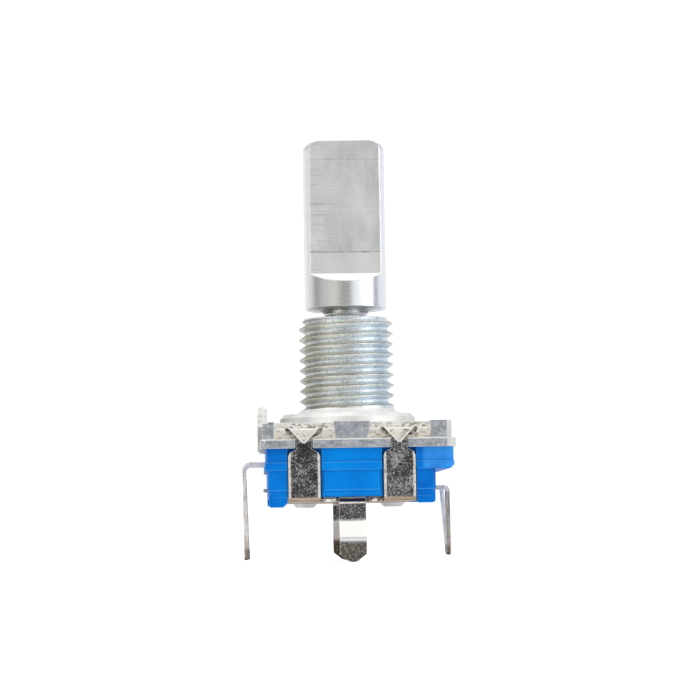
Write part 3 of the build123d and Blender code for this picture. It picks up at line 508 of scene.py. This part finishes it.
def nickel():
    """Plated sheet: dark and bright, flecked, with pale sheared edges, painted warm reflections on the
    undersides, and painted highlights and shade lines.
    """
    material, tree, shader = new_material("flecked_nickel", Metallic=1.0)
    plain = coordinates(tree)
    x, y, z = parts_of(tree, plain)
    patches = noise(tree, plain, 0.9, 2.0, 0.5)
    flecks = math_node(tree, "MULTIPLY_ADD", patches, 0.35, noise(tree, plain, 8.5, 4.0, 0.8))
    flecks = ramp(tree, flecks, [(0.66, 0.0), (0.84, 1.0)])
    scratch = noise(tree, coordinates(tree, (4.0, 4.0, 0.6)), 1.0, 3.0, 0.5)
    marks = math_node(tree, "MAXIMUM", flecks, ramp(tree, scratch, [(0.70, 0.0), (0.74, 1.0)]))
    rounded, edge = soft_edges(tree, 0.06)
    sheet = mix(tree, marks, (0.072, 0.07, 0.076), (0.58, 0.57, 0.56))
    rough = mix(tree, marks, 0.22, 0.5)

    # painted reflections on the snap lug: near white from its bend down to the kink, flecked dark brown below
    # the kink
    lug_slope_reflection = within(tree, z, SNAP_KINK_Z - 0.1, SNAP_BEND_Z, 0.2)
    brown = within(tree, z, BELOW_ALL, SNAP_KINK_Z - 0.45, 0.3)
    underside = within(tree, z, *UNDERSIDE_Z, 0.03)
    # painted reflection of the floor: the standoffs are near white
    standoff_reflection = times(tree, within(tree, z, *STANDOFF_Z, 0.03), within(tree, y, -STANDOFF_Y, STANDOFF_Y))
    between = within(tree, x, -CENTRE_HALF_X, CENTRE_HALF_X)
    # painted shadow: a near-black line along the plate's edge between the claws
    plate_edge_shadow = times(tree, within(tree, z, *PLATE_EDGE_Z, 0.02), between)
    front = math_node(tree, "GREATER_THAN", math_node(tree, "ABSOLUTE", y), PLATE_EDGE_Y)
    sheared = times(tree, within(tree, z, UNDERSIDE_Z[0], PLATE_EDGE_Z[0], 0.02), between)
    sheared = times(tree, sheared, front)
    on_lug = times(tree, within(tree, x, -SNAP_HALF_X, SNAP_HALF_X), front)
    # painted shade on the snap lug's bend, with a painted highlight line just below it
    lug_bend_shade = times(tree, on_lug, within(tree, z, UNDERSIDE_Z[0] + 0.03, PLATE_EDGE_Z[0], 0.03))
    lug_brow_highlight = times(tree, on_lug, within(tree, z, UNDERSIDE_Z[0] - 0.1, UNDERSIDE_Z[0] - 0.02, 0.03))
    # painted highlights along the notch between the prongs; the claws' sides are sheared pale, partly a
    # painted highlight
    from_claw = math_node(tree, "SUBTRACT", math_node(tree, "ABSOLUTE", x), CLAW_X)
    across = math_node(tree, "ABSOLUTE", from_claw)
    border = times(
        tree,
        within(tree, across, *CLAW_BORDER, 0.05),
        within(tree, z, UNDERSIDE_Z[1], CLAW_BORDER_TOP_Z, 0.1),
    )
    chatter = ramp(tree, noise(tree, plain, 5.0, 4.0, 0.7), [(0.36, 0.25), (0.5, 0.95)])
    above = math_node(tree, "SUBTRACT", z, math_node(tree, "MULTIPLY_ADD", across, NOTCH_SLOPE, NOTCH_Z))
    notch = times(tree, within(tree, above, *NOTCH_HIGHLIGHT, 0.04), within(tree, z, NOTCH_FOOT_Z, 0.0))
    speckle = ramp(tree, noise(tree, plain, 5.0, 4.0, 0.7), [(0.46, 0.0), (0.60, 1.0)])
    tip = mix(tree, speckle, (0.12, 0.11, 0.095), (0.33, 0.30, 0.26))
    # painted warm reflection on the plate's underside and the claws' bends
    underside_noise = noise(tree, coordinates(tree, (0.4, 5.0, 5.0)), 1.0)
    underside_noise = math_node(tree, "MULTIPLY_ADD", patches, 0.5, underside_noise)
    warm_reflection = ramp(tree, underside_noise, [(0.58, (0.38, 0.29, 0.21)), (0.90, (0.64, 0.50, 0.37))])
    prongs = within(tree, z, PRONG_FOOT_Z, 0.0, 0.05)
    prong_colour = mix(tree, speckle, (0.07, 0.065, 0.06), (0.48, 0.43, 0.37))
    lumps = noise(tree, plain, 2.6, 2.0, 0.5)
    # the sheared edge between the claws: brown lumps with painted highlights
    painted_highlight = ramp(tree, lumps, [(0.42, (0.20, 0.13, 0.10)), (0.58, (1.0, 0.97, 0.94))])
    for mask, colour, gloss in (
        (prongs, prong_colour, 0.45),
        (times(tree, border, chatter), (0.88, 0.84, 0.78), 0.5),
        (notch, (0.97, 0.95, 0.92), 0.5),
        (standoff_reflection, (1.0, 1.0, 0.99), 0.7),
        (lug_slope_reflection, (0.96, 0.955, 0.93), 0.3),
        (brown, tip, 0.4),
        (underside, warm_reflection, 0.5),
        (sheared, painted_highlight, 0.5),
        (lug_bend_shade, (0.02, 0.02, 0.05), 0.6),
        (lug_brow_highlight, (0.88, 0.85, 0.80), 0.5),
        (plate_edge_shadow, (0.02, 0.02, 0.05), 0.6),
    ):
        sheet = mix(tree, mask, sheet, colour)
        rough = mix(tree, mask, rough, gloss)
    # painted highlights along the sheet's edges
    link(tree, mix(tree, edge, sheet, (0.92, 0.88, 0.82)), shader.inputs["Base Color"])
    link(tree, rough, shader.inputs["Roughness"])
    link(tree, bump(tree, marks, 0.005, rounded), shader.inputs["Normal"])
    return material


def tin(name, low, high, bright_z):
    """Tinned strip with a painted highlight at the bend within bright_z, bare and brown at the cut tip."""
    material, tree, shader = new_material(name, Metallic=1.0)
    plain = coordinates(tree)
    _, _, z = parts_of(tree, plain)
    grain = noise(tree, plain, 6.0, 5.0, 0.7)
    streaks = noise(tree, coordinates(tree, (6.0, 6.0, 0.8)), 1.0, 4.0, 0.6)
    tone = math_node(tree, "MULTIPLY_ADD", streaks, 0.6, times(tree, grain, 0.4))
    colour = ramp(tree, tone, [(0.40, low), (0.56, high)])
    # painted highlight at the bend, in streaks
    highlight_streaks = ramp(tree, streaks, [(0.45, 0.2), (0.6, 1.0)])
    bend_highlight = times(tree, within(tree, z, *bright_z, 0.2), highlight_streaks)
    colour = mix(tree, bend_highlight, colour, (0.96, 0.95, 0.97))
    bare = ramp(tree, grain, [(0.35, 0.35), (0.55, 0.85)])
    bare = times(tree, bare, within(tree, z, BELOW_ALL, LEG_TIP_Z, 0.3))
    link(tree, mix(tree, bare, colour, (0.20, 0.15, 0.11)), shader.inputs["Base Color"])
    link(tree, ramp(tree, grain, [(0.3, 0.34), (0.7, 0.52)]), shader.inputs["Roughness"])
    rounded, _ = soft_edges(tree, 0.05)
    link(tree, bump(tree, tone, 0.012, rounded), shader.inputs["Normal"])
    return material


def blue_plastic():
    """Satin blue moulding, scuffed, with painted highlights along its edges."""
    material, tree, shader = new_material("blue_moulding")
    shader.inputs["Specular IOR Level"].default_value = 0.06
    plain = coordinates(tree)
    x, _, z = parts_of(tree, plain)
    cloud = noise(tree, plain, 0.45, 3.0, 0.5)
    grain = noise(tree, plain, 12.0, 4.0, 0.6)
    scuffs = noise(tree, coordinates(tree, (1.0, 1.0, 3.0)), 2.5, 5.0, 0.7)
    scuffs = ramp(tree, scuffs, [(0.62, 0.0), (0.70, 1.0)])
    # darker just under the casting, at both sides of the centre block
    shade = times(tree, within(tree, z, *SHADE_Z, 0.25), ramp(tree, cloud, [(0.4, 0.2), (0.6, 0.6)]))
    shade = times(tree, shade, math_node(tree, "GREATER_THAN", math_node(tree, "ABSOLUTE", x), CENTRE_HALF_X))
    rounded, edge = soft_edges(tree, 0.07)
    colour = ramp(tree, cloud, [(0.34, (0.0, 0.105, 0.44)), (0.66, (0.0, 0.165, 0.565))])
    # the corner by the moulding gate is paler
    pale = times(tree, within(tree, x, *GATE_X, 0.3), within(tree, z, *GATE_Z, 0.2))
    pale = times(tree, pale, ramp(tree, cloud, [(0.3, 0.25), (0.7, 0.5)]))
    centre = within(tree, x, -CENTRE_HALF_X, CENTRE_HALF_X, 0.05)
    centre = times(tree, centre, ramp(tree, cloud, [(0.3, 0.35), (0.7, 0.6)]))
    colour = mix(tree, centre, colour, (0.0, 0.22, 0.66))
    colour = mix(tree, shade, colour, (0.0, 0.07, 0.32))
    # painted highlights along the edges, together with scuffs and the paler corner
    worn = math_node(tree, "MAXIMUM", times(tree, edge, 0.85), times(tree, scuffs, 0.3))
    worn = math_node(tree, "MAXIMUM", worn, pale)
    link(tree, mix(tree, worn, colour, (0.08, 0.40, 0.90)), shader.inputs["Base Color"])
    link(tree, ramp(tree, grain, [(0.3, 0.30), (0.7, 0.42)]), shader.inputs["Roughness"])
    link(tree, bump(tree, grain, 0.006, rounded), shader.inputs["Normal"])
    return material


def speckled(name, scale, low, high, rough, metallic):
    """Simple two-tone material for the pieces inside the body."""
    material, tree, shader = new_material(name, Metallic=metallic)
    grain = noise(tree, coordinates(tree), scale)
    link(tree, ramp(tree, grain, [(0.3, low), (0.7, high)]), shader.inputs["Base Color"])
    link(tree, ramp(tree, grain, [(0.3, rough), (0.7, rough + 0.14)]), shader.inputs["Roughness"])
    rounded, _ = soft_edges(tree, 0.03)
    link(tree, bump(tree, grain, 0.005, rounded), shader.inputs["Normal"])
    return material


def dress(names, material):
    for name in names:
        for slot in nodes_in_frame[name].material_slots:
            slot.material = material


add_camera()
add_floor()
add_world()
scene.view_settings.view_transform = "Standard"
scene.view_settings.exposure = EXPOSURE

dress(["shaft"], machined_aluminium())
dress(["bushing_flange"], zinc())
dress(["mounting_plate"], nickel())
dress(
    ["terminal_a", "terminal_b", "terminal_c"],
    tin("tinned_brass", (0.62, 0.53, 0.46), (1.0, 0.98, 0.95), ENCODER_BEND_Z),
)
dress(["terminal_d"], tin("dull_tin", (0.30, 0.26, 0.22), (0.58, 0.54, 0.50), SWITCH_BEND_Z))
dress(["terminal_e"], tin("bluish_tin", (0.58, 0.64, 0.66), (0.86, 0.90, 0.94), SWITCH_BEND_Z))
dress(["encoder_base", "switch_base"], blue_plastic())
dress(
    ["rotor", "plunger"],
    speckled("natural_moulding", 8.0, (0.78, 0.77, 0.72), (0.84, 0.83, 0.79), 0.4, 0.0),
)
dress(
    ["code_disc", "wiper_a", "wiper_b", "wiper_c"],
    speckled("contact_bronze", 8.0, (0.72, 0.55, 0.30), (0.86, 0.70, 0.42), 0.2, 1.0),
)
dress(
    ["detent_spring", "retaining_ring", "snap_dome"],
    speckled("spring_steel", 6.0, (0.55, 0.55, 0.56), (0.72, 0.72, 0.72), 0.2, 1.0),
)
dress(["dome_film"], speckled("amber_film", 5.0, (0.80, 0.62, 0.22), (0.88, 0.70, 0.30), 0.22, 0.0))

for softbox in SOFTBOXES:
    add_softbox(*softbox)
